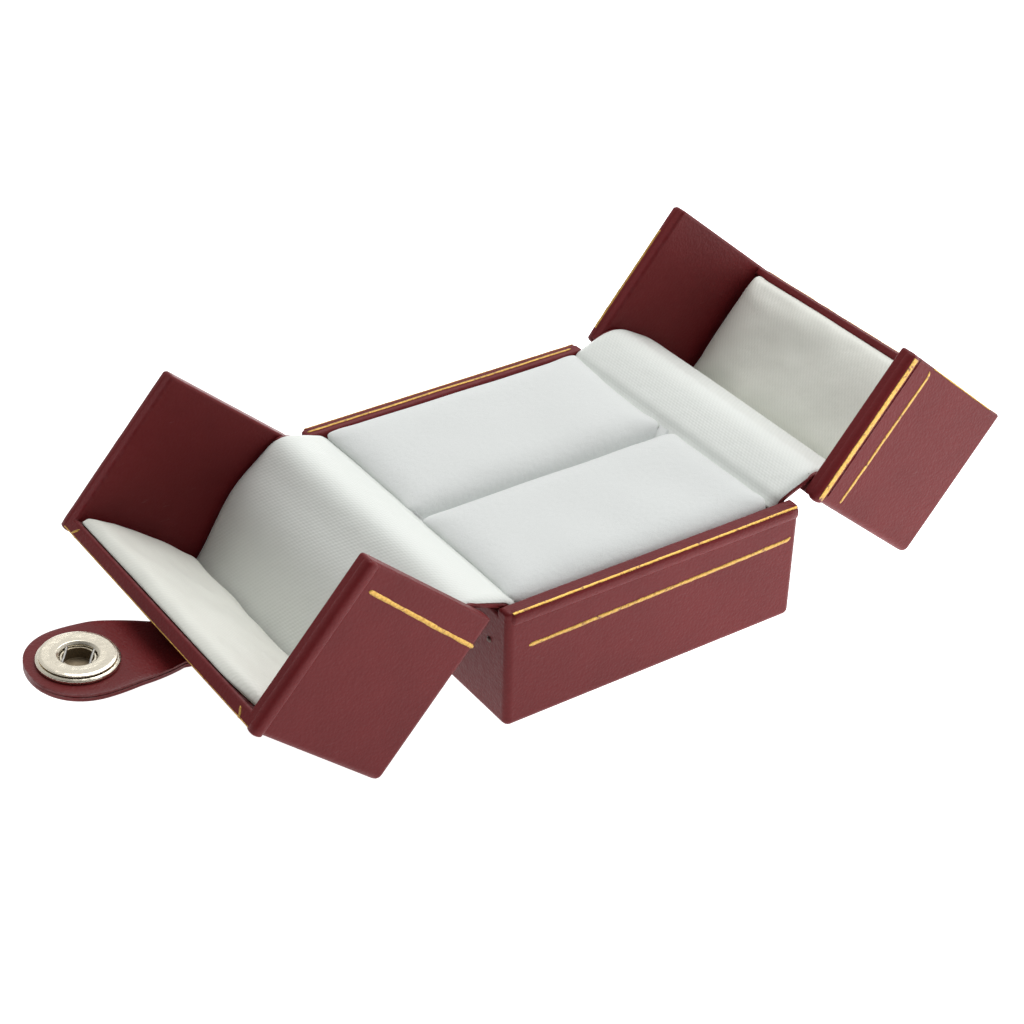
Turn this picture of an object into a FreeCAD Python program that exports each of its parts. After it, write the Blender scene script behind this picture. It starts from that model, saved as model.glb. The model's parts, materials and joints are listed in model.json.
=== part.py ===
import FreeCAD, Part
import math
import os

# Ring box with two doors. Millimetres. The origin is the centre of the base's underside, the front
# faces -Y, +X runs from the left door to the right door and +Z is up. Each door is built closed and
# on the right, and is then mirrored where needed and turned open about its hinge pin.

V = FreeCAD.Vector
Y_AXIS = V(0, 1, 0)

# Driving dimensions
BOX_W = 46.0            # across the two hinged sides
BOX_D = 50.8            # front to back
BASE_H = 17.8           # base, up to its front and back rims
DOOR_H = 24.4           # closed door, above the base's rim
LEFT_OPEN = 138.3       # opening of each door, in degrees
RIGHT_OPEN = 130.1
TAB_FOLD = 36.0         # how far the snap tab is bent back from its snapped place, in degrees

# Walls and gaps
BOARD_T = 1.6
COVER_T = 0.35
FOOT_H = 0.4            # thickness of the bottom panel that the box rests on
EDGE_R = 1.0
RIM_GAP = 0.15          # between the closed doors and the base's rim
SEAM_HALF = 0.15        # half the seam where the closed doors meet
BEAD_OUT = 0.35         # the rims' bead stands this far out of the end walls
BEAD_H = 1.8
BEAD_R = 0.3
TURN_IN = 5.0           # the cover is folded this far under the base
PANEL_INSET = 1.2

HALF_W = BOX_W / 2
HALF_D = BOX_D / 2
TOP = BASE_H + DOOR_H
DOOR_Z = BASE_H + RIM_GAP
IN_X = HALF_W - COVER_T - BOARD_T
IN_Y = HALF_D - COVER_T - BOARD_T
SKIN_Y = IN_Y - COVER_T
FLOOR_Z = FOOT_H + COVER_T + BOARD_T
CEILING_Z = TOP - COVER_T - BOARD_T
FAR = 100.0

# Hinges: a leaf inside each wall, joined by a thin pin outside the box
PIN_OUT = 1.1           # pin axis, outboard of the side face
PIN_DROP = 0.25         # pin axis, below the base's rim
PIN_R = 0.35
BORE_R = 0.39
KNUCKLE_R = 0.7
BARREL_HALF = 20.0
KNUCKLE_GAP = 0.1
KNUCKLES = 5
LEAF_T = 0.4
LEAF_HALF = 22.4
LEAF_DOWN = 8.0
LEAF_UP = 9.0
TONGUE_CLEAR = 0.15     # between the other leaf's knuckles and this leaf
PIVOT_X = HALF_W + PIN_OUT
PIVOT_Z = BASE_H - PIN_DROP
BASE_LEAF_Z = PIVOT_Z - KNUCKLE_R
DOOR_LEAF_Z = PIVOT_Z + KNUCKLE_R - LEAF_T
BASE_SIDE_Z = BASE_LEAF_Z - 0.05
DOOR_SIDE_Z = DOOR_LEAF_Z + LEAF_T + 0.15

# Rivets through the side walls
RIVET_Y = (-21.4, 0.0, 21.4)
BASE_RIVET_Z = 11.9
DOOR_RIVET_Z = DOOR_Z + 5.9
RIVET_R = 0.5
RIVET_HOLE_R = 0.53
RIVET_HEAD_R = 0.9
RIVET_HEAD_H = 0.4
RIVET_TAIL_H = 0.3

# Ring pads and their board
INSERT_T = 1.0
PAD_X = 20.1
PAD_Y = 22.9
SLOT_HALF = 0.3         # half the ring slot between the two pads
PAD_TOP = 18.1
PAD_R = 1.5

# Satin over the hinges
STRIP_IN = 20.2
STRIP_OUT = 22.9
STRIP_Z = 17.3
STRIP_T = 0.3

# Door linings: (inward from the side face, up from the base's rim)
LINING_BACK = 2.8
LEFT_SIDE_LINING = [(2.8, 1.0), (3.1, 1.6), (4.0, 4.1), (4.65, 7.1), (4.7, 10.4),
                    (4.2, 13.5), (3.65, 16.6), (3.3, 19.4), (2.8, 19.4)]
RIGHT_SIDE_LINING = [(2.8, 1.0), (3.3, 1.3), (3.9, 2.55), (4.8, 7.3), (4.7, 12.0),
                     (4.6, 17.9), (2.8, 17.9)]
LEFT_TOP_PAD = [(2.8, 19.6), (9.2, 19.9), (14.7, 20.0), (21.4, 20.7), (21.9, 21.15), (2.8, 21.15)]
RIGHT_TOP_PAD = [(2.8, 18.1), (14.0, 18.3), (21.6, 19.0), (22.0, 20.0), (21.9, 21.15), (2.8, 21.15)]
LINING_Y = 22.7
CARD_T = 0.8
CARD_Z = BASE_H + 21.2
CARD_IN = 1.2

# Snap tab: a two-ply strap from the left door, bent over the meeting edge
TAB_T = 1.0
TAB_LINING_T = 0.4
TAB_NECK_HALF = 5.3
TAB_HEAD_R = 7.2
TAB_ROOT_LEN = 4.94     # fold line to knee
TAB_ROOT_RISE = 41.4    # slope of that stretch when snapped, in degrees
TAB_FLAT_LEN = 5.4      # knee to snap centre
TAB_TILT = 2.6          # the snapped head dips this much towards its tip, in degrees
TAB_BEND_R = 4.0
ANCHOR_LEN = 11.0
ANCHOR_GAP = 0.6
ANCHOR_CHAMFER = 0.3
ANCHOR_CORNER_R = 2.0

# Snap fastener
SOCKET_R = 5.2
SOCKET_T = 0.7
SOCKET_NECK_R = 2.9
SOCKET_STAND = 1.1      # socket's face, off the strap
SOCKET_HOLE_R = 2.3
CAP_R = 5.0
CAP_H = 1.0
CAP_TUBE_OUT = 2.2
CAP_TUBE_IN = 1.9
WIRE_R = 0.18
WIRE_Y = 1.6            # each spring wire, off the snap's axis
WIRE_HALF = 3.2
WIRE_TURN = 125.0       # the wires' direction, from the tab's length, in degrees
STUD_FLANGE_R = 4.8
STUD_FLANGE_H = 0.9
STUD_NECK_R = 1.15
STUD_HEAD_R = 1.35
STUD_HEAD_Z = 2.5
STUD_H = 3.1
POST_R = 1.2
POST_HOLE_R = 1.25
POST_HEAD_R = 2.5
POST_HEAD_H = 0.3

FOLD_X = -SEAM_HALF
FOLD_Z = TOP + TAB_T / 2


def slope(degrees):
    """Unit direction in XZ, this much above +X."""
    angle = math.radians(degrees)
    return V(math.cos(angle), 0, math.sin(angle))


FOLD = V(FOLD_X, 0, FOLD_Z)
KNEE = FOLD + slope(TAB_ROOT_RISE) * TAB_ROOT_LEN
SNAP = KNEE + slope(-TAB_TILT) * TAB_FLAT_LEN


def block(x, y, z):
    """A box between two values on each axis."""
    return Part.makeBox(x[1] - x[0], y[1] - y[0], z[1] - z[0], V(x[0], y[0], z[0]))


def lies_on(edge, axis, value):
    return all(abs(getattr(vertex.Point, axis) - value) < 1e-6 for vertex in edge.Vertexes)


def rounded(shape, radius, sharp_planes):
    """Round every edge but those that lie on one of the given planes."""
    edges = [edge for edge in shape.Edges
             if not any(lies_on(edge, axis, value) for axis, value in sharp_planes)]
    return shape.makeFillet(radius, edges)


def round_plane(shape, radius, axis, value):
    """Round only the edges that lie on one plane."""
    return shape.makeFillet(radius, [edge for edge in shape.Edges if lies_on(edge, axis, value)])


def profile(points, half_y):
    """A closed outline in XZ, made solid symmetrically along Y."""
    corners = [V(x, -half_y, z) for x, z in points]
    face = Part.Face(Part.makePolygon(corners + corners[:1]))
    return face.extrude(V(0, 2 * half_y, 0))


def rod_x(radius, x0, x1, y, z):
    return Part.makeCylinder(radius, x1 - x0, V(x0, y, z), V(1, 0, 0))


def rod_y(radius, y0, y1, x, z):
    return Part.makeCylinder(radius, y1 - y0, V(x, y0, z), Y_AXIS)


def disc(radius, z0, z1, x=0.0, y=0.0):
    return Part.makeCylinder(radius, z1 - z0, V(x, y, z0))


def mirrored(shape):
    return shape.mirror(V(0, 0, 0), V(1, 0, 0))


def turned(shape, x, z, degrees):
    """Turn about a line along +Y through (x, z)."""
    copy = shape.copy()
    copy.rotate(V(x, 0, z), Y_AXIS, degrees)
    return copy


def right_door_place(shape):
    return turned(shape, PIVOT_X, PIVOT_Z, RIGHT_OPEN)


def left_door_place(shape):
    return turned(shape, -PIVOT_X, PIVOT_Z, -LEFT_OPEN)


def tab_place(shape):
    return left_door_place(turned(shape, FOLD_X, FOLD_Z, -TAB_FOLD))


# Base ------------------------------------------------------------------------------------------

def base_envelope(inset):
    box = block((-HALF_W + inset, HALF_W - inset), (-HALF_D + inset, HALF_D - inset),
                (FOOT_H + inset, BASE_H - inset))
    return rounded(box, EDGE_R - inset, [("z", BASE_H - inset)])


def rivet_holes(z):
    return [rod_x(RIVET_HOLE_R, -FAR, FAR, y, z) for y in RIVET_Y]


def base_board():
    """Floor and four walls, with the hinged walls cut down for the leaves."""
    shell = base_envelope(COVER_T)
    shell = shell.cut(block((-IN_X, IN_X), (-IN_Y, IN_Y), (FLOOR_Z, FAR)))
    return shell.cut(block((-FAR, FAR), (-IN_Y, IN_Y), (BASE_SIDE_Z - COVER_T, FAR)))


def base_beads():
    beads = []
    for side in (-1, 1):
        ys = sorted((side * (HALF_D - COVER_T), side * (HALF_D + BEAD_OUT)))
        bead = block((-HALF_W + EDGE_R, HALF_W - EDGE_R), ys, (BASE_H - BEAD_H, BASE_H))
        beads.append(round_plane(bead, BEAD_R, "y", side * (HALF_D + BEAD_OUT)))
    return beads


def base_cover():
    """Leatherette: outside of the walls, over the rims and down the end walls' inside."""
    skin = base_envelope(0.0).fuse(base_beads()).cut(base_board())
    skin = skin.cut(block((-IN_X, IN_X), (-SKIN_Y, SKIN_Y), (FLOOR_Z - 0.5, FAR)))
    skin = skin.cut(block((-FAR, FAR), (-SKIN_Y, SKIN_Y), (BASE_SIDE_Z, FAR)))
    skin = skin.cut(block((-HALF_W + TURN_IN, HALF_W - TURN_IN),
                          (-HALF_D + TURN_IN, HALF_D - TURN_IN), (0, FLOOR_Z - BOARD_T)))
    return skin.cut(rivet_holes(BASE_RIVET_Z)).removeSplitter()


def bottom_panel():
    panel = block((-HALF_W + PANEL_INSET, HALF_W - PANEL_INSET),
                  (-HALF_D + PANEL_INSET, HALF_D - PANEL_INSET), (0, FOOT_H))
    return rounded(panel, EDGE_R, [("z", 0), ("z", FOOT_H)])


def insert_board():
    return block((-PAD_X, PAD_X), (-PAD_Y, PAD_Y), (FLOOR_Z, FLOOR_Z + INSERT_T))


def ring_pad(side):
    ys = sorted((side * SLOT_HALF, side * PAD_Y))
    pad = block((-PAD_X, PAD_X), ys, (FLOOR_Z + INSERT_T, PAD_TOP))
    return round_plane(pad, PAD_R, "z", PAD_TOP)


def base_strip():
    return block((STRIP_IN, STRIP_OUT), (-PAD_Y, PAD_Y), (STRIP_Z, STRIP_Z + STRIP_T))


# Hinges, on the right --------------------------------------------------------------------------

def knuckle_spans(first):
    """Y ranges of every second knuckle, from the first or the second one."""
    step = 2 * BARREL_HALF / KNUCKLES
    spans = []
    for index in range(first, KNUCKLES, 2):
        start = -BARREL_HALF + index * step
        spans.append((start + KNUCKLE_GAP / 2, start + step - KNUCKLE_GAP / 2))
    return spans


def hinge_leaf(spans, shelf_z, plate_z):
    """Knuckles, a shelf over the wall's edge and a plate against the wall's inside."""
    shelf_end = PIVOT_X - KNUCKLE_R - TONGUE_CLEAR
    leaf = block((IN_X - LEAF_T, IN_X), (-LEAF_HALF, LEAF_HALF), plate_z)
    leaf = leaf.fuse(block((IN_X - LEAF_T, shelf_end), (-BARREL_HALF, BARREL_HALF),
                           (shelf_z, shelf_z + LEAF_T)))
    for span in spans:
        leaf = leaf.fuse(block((shelf_end, PIVOT_X), span, (shelf_z, shelf_z + LEAF_T)))
        leaf = leaf.fuse(rod_y(KNUCKLE_R, span[0], span[1], PIVOT_X, PIVOT_Z))
    leaf = leaf.cut(rod_y(BORE_R, -FAR, FAR, PIVOT_X, PIVOT_Z))
    return leaf.removeSplitter()


def base_leaf():
    leaf = hinge_leaf(knuckle_spans(0), BASE_LEAF_Z, (BASE_LEAF_Z - LEAF_DOWN, BASE_LEAF_Z + LEAF_T))
    return leaf.cut(rivet_holes(BASE_RIVET_Z))


def door_leaf():
    leaf = hinge_leaf(knuckle_spans(1), DOOR_LEAF_Z, (DOOR_LEAF_Z, DOOR_LEAF_Z + LEAF_UP))
    return leaf.cut(rivet_holes(DOOR_RIVET_Z))


def hinge_pin():
    pin = rod_y(PIN_R, -BARREL_HALF - 0.2, BARREL_HALF + 0.2, PIVOT_X, PIVOT_Z)
    for side in (-1, 1):
        ys = sorted((side * (BARREL_HALF + 0.05), side * (BARREL_HALF + 0.35)))
        pin = pin.fuse(rod_y(KNUCKLE_R - 0.15, ys[0], ys[1], PIVOT_X, PIVOT_Z))
    return pin


def rivet_row(z):
    """Separate rivets: domed head outside, shank through wall and leaf, flat tail inside."""
    tail_x = IN_X - LEAF_T - RIVET_TAIL_H
    rivets = []
    for y in RIVET_Y:
        head = rod_x(RIVET_HEAD_R, HALF_W, HALF_W + RIVET_HEAD_H, y, z)
        head = round_plane(head, RIVET_HEAD_H * 0.8, "x", HALF_W + RIVET_HEAD_H)
        tail = rod_x(RIVET_HEAD_R * 0.9, tail_x, IN_X - LEAF_T, y, z)
        rivets.append(head.fuse([rod_x(RIVET_R, tail_x, HALF_W, y, z), tail]))
    return Part.makeCompound(rivets)


# Doors, on the right and closed ----------------------------------------------------------------

def door_envelope(inset):
    box = block((SEAM_HALF + inset, HALF_W - inset), (-HALF_D + inset, HALF_D - inset),
                (DOOR_Z + inset, TOP - inset))
    return rounded(box, EDGE_R - inset, [("x", SEAM_HALF + inset), ("z", DOOR_Z + inset)])


def door_board():
    """Side wall, two end walls and a top, open below and where the doors meet."""
    shell = door_envelope(COVER_T)
    shell = shell.cut(block((-FAR, IN_X), (-IN_Y, IN_Y), (-FAR, CEILING_Z)))
    return shell.cut(block((-FAR, FAR), (-IN_Y, IN_Y), (-FAR, DOOR_SIDE_Z + COVER_T)))


def door_bead(side, xs, zs):
    outer = side * (HALF_D + BEAD_OUT)
    ys = sorted((side * (HALF_D - COVER_T), outer))
    return round_plane(block(xs, ys, zs), BEAD_R, "y", outer)


def low_beads():
    """Beads along the bottom rims of the end walls."""
    return [door_bead(side, (SEAM_HALF, HALF_W - EDGE_R), (DOOR_Z, DOOR_Z + BEAD_H)) for side in (-1, 1)]


def meeting_beads():
    """Beads along the end walls' rims where the doors meet."""
    return [door_bead(side, (SEAM_HALF, SEAM_HALF + BEAD_H), (DOOR_Z, TOP - EDGE_R)) for side in (-1, 1)]


def door_cover(beads):
    skin = door_envelope(0.0).fuse(beads).cut(door_board())
    skin = skin.cut(block((-FAR, IN_X), (-SKIN_Y, SKIN_Y), (-FAR, CEILING_Z)))
    skin = skin.cut(block((IN_X - 1, FAR), (-SKIN_Y, SKIN_Y), (-FAR, DOOR_SIDE_Z)))
    return skin.cut(rivet_holes(DOOR_RIVET_Z)).removeSplitter()


def lining(points):
    return profile([(HALF_W - inward, BASE_H + up) for inward, up in points], LINING_Y)


def pad_card():
    return block((SEAM_HALF + CARD_IN, HALF_W - LINING_BACK), (-LINING_Y, LINING_Y),
                 (CARD_Z, CARD_Z + CARD_T))


# Snap tab, snapped over the right door ---------------------------------------------------------

def strap_ply(low, high):
    """One ply of the strap: straight from the fold, a bend at the knee, then straight to the tip.

    low and high are the ply's faces, measured from the strap's middle surface.
    """
    root_way = slope(TAB_ROOT_RISE)
    flat_way = slope(-TAB_TILT)
    turn = math.radians(TAB_ROOT_RISE + TAB_TILT)
    bend_start = KNEE - root_way * TAB_BEND_R * math.tan(turn / 2)
    centre = bend_start - slope(TAB_ROOT_RISE + 90) * TAB_BEND_R
    tip = SNAP + flat_way * TAB_HEAD_R * 1.2

    def face_points(offset):
        radius = TAB_BEND_R + offset
        arc = [centre + slope(rise + 90) * radius
               for rise in (TAB_ROOT_RISE, (TAB_ROOT_RISE - TAB_TILT) / 2, -TAB_TILT)]
        return FOLD + slope(TAB_ROOT_RISE + 90) * offset, arc, tip + slope(90 - TAB_TILT) * offset

    edges = []
    ends = []
    for offset in (low, high):
        root, arc, end = face_points(offset)
        edges += [Part.makeLine(root, arc[0]), Part.Arc(*arc).toShape(), Part.makeLine(arc[2], end)]
        ends.append((root, end))
    edges += [Part.makeLine(ends[0][side], ends[1][side]) for side in (0, 1)]
    band = Part.Face(Part.Wire(Part.__sortEdges__(edges)))
    band.translate(V(0, -FAR / 2, 0))
    return band.extrude(V(0, FAR, 0))


def tab_outline():
    """Plan of the tab: a straight neck and a round head about the snap."""
    neck = block((FOLD_X - TAB_T, SNAP.x), (-TAB_NECK_HALF, TAB_NECK_HALF), (0, FAR))
    return neck.fuse(disc(TAB_HEAD_R, 0, FAR, SNAP.x))


def at_snap(shape):
    """Place a piece made about the snap's own axis, +Z away from the box."""
    copy = shape.copy()
    copy.rotate(V(0, 0, 0), Y_AXIS, TAB_TILT)
    copy.translate(SNAP)
    return copy


def tab_hole():
    return at_snap(disc(CAP_TUBE_OUT + 0.03, -3, 3))


def tab_strap():
    """Outer ply, with a round root that turns on the fold line."""
    ply = strap_ply(TAB_LINING_T - TAB_T / 2, TAB_T / 2).common(tab_outline())
    root = rod_y(TAB_T / 2, -TAB_NECK_HALF, TAB_NECK_HALF, FOLD_X, FOLD_Z)
    return ply.fuse(root).cut(tab_lining_solid()).cut(tab_hole()).removeSplitter()


def tab_lining_solid():
    return strap_ply(-TAB_T / 2, TAB_LINING_T - TAB_T / 2).common(tab_outline())


def tab_lining():
    return tab_lining_solid().cut(tab_hole())


def tab_anchor():
    """The strap's end that is glued to the left door's top."""
    length = (FOLD_X - ANCHOR_GAP - ANCHOR_LEN, FOLD_X - ANCHOR_GAP)
    plate = block(length, (-TAB_NECK_HALF, TAB_NECK_HALF), (TOP, TOP + TAB_T))
    corners = [edge for edge in plate.Edges
               if lies_on(edge, "x", length[0]) and not lies_on(edge, "z", TOP)
               and not lies_on(edge, "z", TOP + TAB_T)]
    plate = plate.makeFillet(ANCHOR_CORNER_R, corners)
    fold_edge = [edge for edge in plate.Edges
                 if lies_on(edge, "x", length[1]) and lies_on(edge, "z", TOP + TAB_T)]
    return plate.makeChamfer(ANCHOR_CHAMFER, fold_edge)


def along_wires(shape):
    copy = shape.copy()
    copy.rotate(V(0, 0, 0), V(0, 0, 1), WIRE_TURN)
    return copy


def wire_channel(side, half_x, half_y, z0, z1):
    channel = block((-half_x, half_x), (side * WIRE_Y - half_y, side * WIRE_Y + half_y), (z0, z1))
    return along_wires(channel)


def snap_socket():
    """Flanged ring on the strap's inner face, with channels for its two spring wires."""
    strap_z = -TAB_T / 2
    face_z = strap_z - SOCKET_STAND
    flange = disc(SOCKET_R, face_z, face_z + SOCKET_T)
    flange = rounded(flange, SOCKET_T * 0.4, [])
    ring = flange.fuse(disc(SOCKET_NECK_R, face_z + SOCKET_T / 2, strap_z))
    ring = ring.cut(disc(SOCKET_HOLE_R, -FAR, FAR))
    wire_z = face_z + SOCKET_T / 2
    for side in (-1, 1):
        ring = ring.cut(wire_channel(side, WIRE_HALF + 0.05, WIRE_R + 0.03,
                                     wire_z - WIRE_R - 0.03, wire_z + WIRE_R + 0.03))
    return at_snap(ring)


def snap_wires():
    wire_z = -TAB_T / 2 - SOCKET_STAND + SOCKET_T / 2
    wires = [rod_x(WIRE_R, -WIRE_HALF, WIRE_HALF, side * WIRE_Y, wire_z) for side in (-1, 1)]
    return at_snap(along_wires(Part.makeCompound(wires)))


def snap_cap():
    """Domed cap on the strap's outer face, with a tube through the strap."""
    strap_z = TAB_T / 2
    cap = disc(CAP_R, strap_z, strap_z + CAP_H)
    cap = round_plane(cap, CAP_H * 0.85, "z", strap_z + CAP_H)
    tube = disc(CAP_TUBE_OUT, -strap_z - SOCKET_STAND / 3, strap_z)
    return at_snap(cap.fuse(tube).cut(disc(CAP_TUBE_IN, -FAR, strap_z)))


def stud_x():
    """X of the socket's mouth, and so of the stud, when the box is snapped shut."""
    return SNAP.x - (TAB_T / 2 + SOCKET_STAND) * math.sin(math.radians(TAB_TILT))


def snap_stud():
    flange = round_plane(disc(STUD_FLANGE_R, 0, STUD_FLANGE_H), STUD_FLANGE_H * 0.6, "z", STUD_FLANGE_H)
    head = round_plane(disc(STUD_HEAD_R, STUD_HEAD_Z, STUD_H), 0.3, "z", STUD_H)
    stud = flange.fuse([disc(STUD_NECK_R, 0, STUD_HEAD_Z), head])
    stud.translate(V(stud_x(), 0, TOP))
    return stud


def stud_post():
    """Rivet that holds the stud from inside the door's top."""
    post = disc(POST_R, CEILING_Z, TOP, stud_x())
    return post.fuse(disc(POST_HEAD_R, CEILING_Z - POST_HEAD_H, CEILING_Z, stud_x()))


def stud_hole():
    return disc(POST_HOLE_R, CEILING_Z - 1, TOP + 1, stud_x())


# Assembly --------------------------------------------------------------------------------------

def base_pieces():
    shell = base_board().cut(rivet_holes(BASE_RIVET_Z))
    pieces = {
        "base_shell": shell,
        "base_cover": base_cover(),
        "base_bottom_panel": bottom_panel(),
        "insert_board": insert_board(),
        "ring_pad_front": ring_pad(-1),
        "ring_pad_back": ring_pad(1),
    }
    sided = {
        "hinge_base_leaf": base_leaf(),
        "hinge_pin": hinge_pin(),
        "base_rivets": rivet_row(BASE_RIVET_Z),
        "base_lining": base_strip(),
    }
    for name, shape in sided.items():
        pieces["right_" + name] = shape
        pieces["left_" + name] = mirrored(shape)
    return pieces


def door_pieces():
    """Both doors' pieces at their open places."""
    board = door_board().cut(rivet_holes(DOOR_RIVET_Z))
    common = {
        "hinge_door_leaf": door_leaf(),
        "door_rivets": rivet_row(DOOR_RIVET_Z),
        "door_pad_card": pad_card(),
    }
    right = {
        "door_shell": board.cut(stud_hole()),
        "door_cover": door_cover(low_beads()).cut(stud_hole()),
        "door_side_lining": lining(RIGHT_SIDE_LINING),
        "door_top_pad": lining(RIGHT_TOP_PAD),
    }
    left = {
        "door_shell": board,
        "door_cover": door_cover(meeting_beads()),
        "door_side_lining": lining(LEFT_SIDE_LINING),
        "door_top_pad": lining(LEFT_TOP_PAD),
    }
    pieces = {}
    for name, shape in {**common, **right}.items():
        pieces["right_" + name] = right_door_place(shape)
    for name, shape in {**common, **left}.items():
        pieces["left_" + name] = left_door_place(mirrored(shape))
    return pieces


def snap_pieces():
    return {
        "snap_tab_anchor": left_door_place(tab_anchor()),
        "snap_tab_strap": tab_place(tab_strap()),
        "snap_tab_lining": tab_place(tab_lining()),
        "snap_socket": tab_place(snap_socket()),
        "snap_socket_wires": tab_place(snap_wires()),
        "snap_cap": tab_place(snap_cap()),
        "snap_stud": right_door_place(snap_stud()),
        "snap_stud_post": right_door_place(stud_post()),
    }


def main():
    os.makedirs("parts", exist_ok=True)
    pieces = {**base_pieces(), **door_pieces(), **snap_pieces()}
    for name, shape in pieces.items():
        shape.exportStep("parts/" + name + ".step")
        box = shape.BoundBox
        print(name, "solids", len(shape.Solids), "valid", shape.isValid(), "volume", round(shape.Volume, 1),
              "x", round(box.XMin, 2), round(box.XMax, 2), "z", round(box.ZMin, 2), round(box.ZMax, 2))


main()
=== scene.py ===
import json
from math import copysign, cos, hypot, pi, radians, sin, sqrt, tan

import bmesh
import bpy
from mathutils import Matrix, Vector, noise


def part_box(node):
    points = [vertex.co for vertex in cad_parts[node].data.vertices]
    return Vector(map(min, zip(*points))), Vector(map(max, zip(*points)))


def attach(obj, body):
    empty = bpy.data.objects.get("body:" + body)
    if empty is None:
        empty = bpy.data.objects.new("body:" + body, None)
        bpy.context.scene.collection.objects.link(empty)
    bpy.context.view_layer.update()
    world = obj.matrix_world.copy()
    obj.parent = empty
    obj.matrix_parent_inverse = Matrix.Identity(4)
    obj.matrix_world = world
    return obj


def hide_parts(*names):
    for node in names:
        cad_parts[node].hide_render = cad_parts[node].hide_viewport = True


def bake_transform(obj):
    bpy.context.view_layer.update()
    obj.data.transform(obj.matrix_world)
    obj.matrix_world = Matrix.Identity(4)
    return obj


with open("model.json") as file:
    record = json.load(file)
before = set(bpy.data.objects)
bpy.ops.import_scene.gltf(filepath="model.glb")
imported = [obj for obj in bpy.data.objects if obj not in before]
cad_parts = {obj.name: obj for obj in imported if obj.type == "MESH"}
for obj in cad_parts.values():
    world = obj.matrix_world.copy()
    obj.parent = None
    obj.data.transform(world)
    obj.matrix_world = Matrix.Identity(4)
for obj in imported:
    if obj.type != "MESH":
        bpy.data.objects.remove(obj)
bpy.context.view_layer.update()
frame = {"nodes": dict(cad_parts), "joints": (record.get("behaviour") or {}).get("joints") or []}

# Ring box with two doors. Shapes are written in millimetres in the closed box: the origin is the centre
# of the underside, the front faces -Y and +Z is up. A door is written on the right; PLACES turns it to
# its open place, mirrored for the left door.

# Sizes -----------------------------------------------------------------------

MM = 0.001
NODES = frame["nodes"]
JOINTS = {joint["name"]: joint for joint in frame["joints"]}


def box_mm(node):
    """A node's lowest and highest corners at rest."""
    return [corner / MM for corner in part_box(node)]


BASE_LOW, BASE_HIGH = box_mm("base_cover")

BOARD = 1.6
SKIN = 0.35             # leatherette
WALL = BOARD + SKIN     # a wall with leatherette on one side
BEAD_OUT = 0.35         # the rims' beads stand this far out of the end walls
BEAD_WIDE = 1.8
EDGE_R = 1.0
HALF_W = BASE_HIGH.x
HALF_D = BASE_HIGH.y - BEAD_OUT
FOOT = BASE_LOW.z
RIM = BASE_HIGH.z
DOOR_RIM = RIM + 0.15
SEAM = 0.15             # half the seam between the closed doors
TOP = RIM + 24.4
CEILING = TOP - WALL
IN_X = HALF_W - WALL
IN_Y = HALF_D - WALL
SKIN_Y = IN_Y - SKIN
BASE_SIDE = 16.8        # top of the base's hinged walls
DOOR_SIDE = 18.4        # bottom of the doors' hinged walls
FLOOR = FOOT + WALL
GROOVE_WIDE = 0.4
GROOVE_DEEP = 0.12
ENDS = {"front": -1, "back": 1}
BACK = Vector((0, 1, 0))


def joint_turn(name):
    """Takes a body from rest to its joint's upper limit, in metres."""
    joint = JOINTS[name]
    pivot = Matrix.Translation(joint["pos_m"])
    turn = Matrix.Rotation(radians(joint["range_deg"][1]), 4, Vector(joint["axis"]))
    return pivot @ turn @ pivot.inverted()


TO_METRES = Matrix.Scale(MM, 4)
MIRROR = Matrix.Scale(-1, 4, (1, 0, 0))
LEFT_OPENS = joint_turn("left_door_hinge").inverted() @ TO_METRES
PLACES = {
    "base": TO_METRES,
    "right_door": joint_turn("right_door_hinge").inverted() @ TO_METRES,
    "left_door": LEFT_OPENS @ MIRROR,
    "snap_tab": joint_turn("snap_tab_flex").inverted() @ LEFT_OPENS,
}


# Materials -------------------------------------------------------------------

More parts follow.
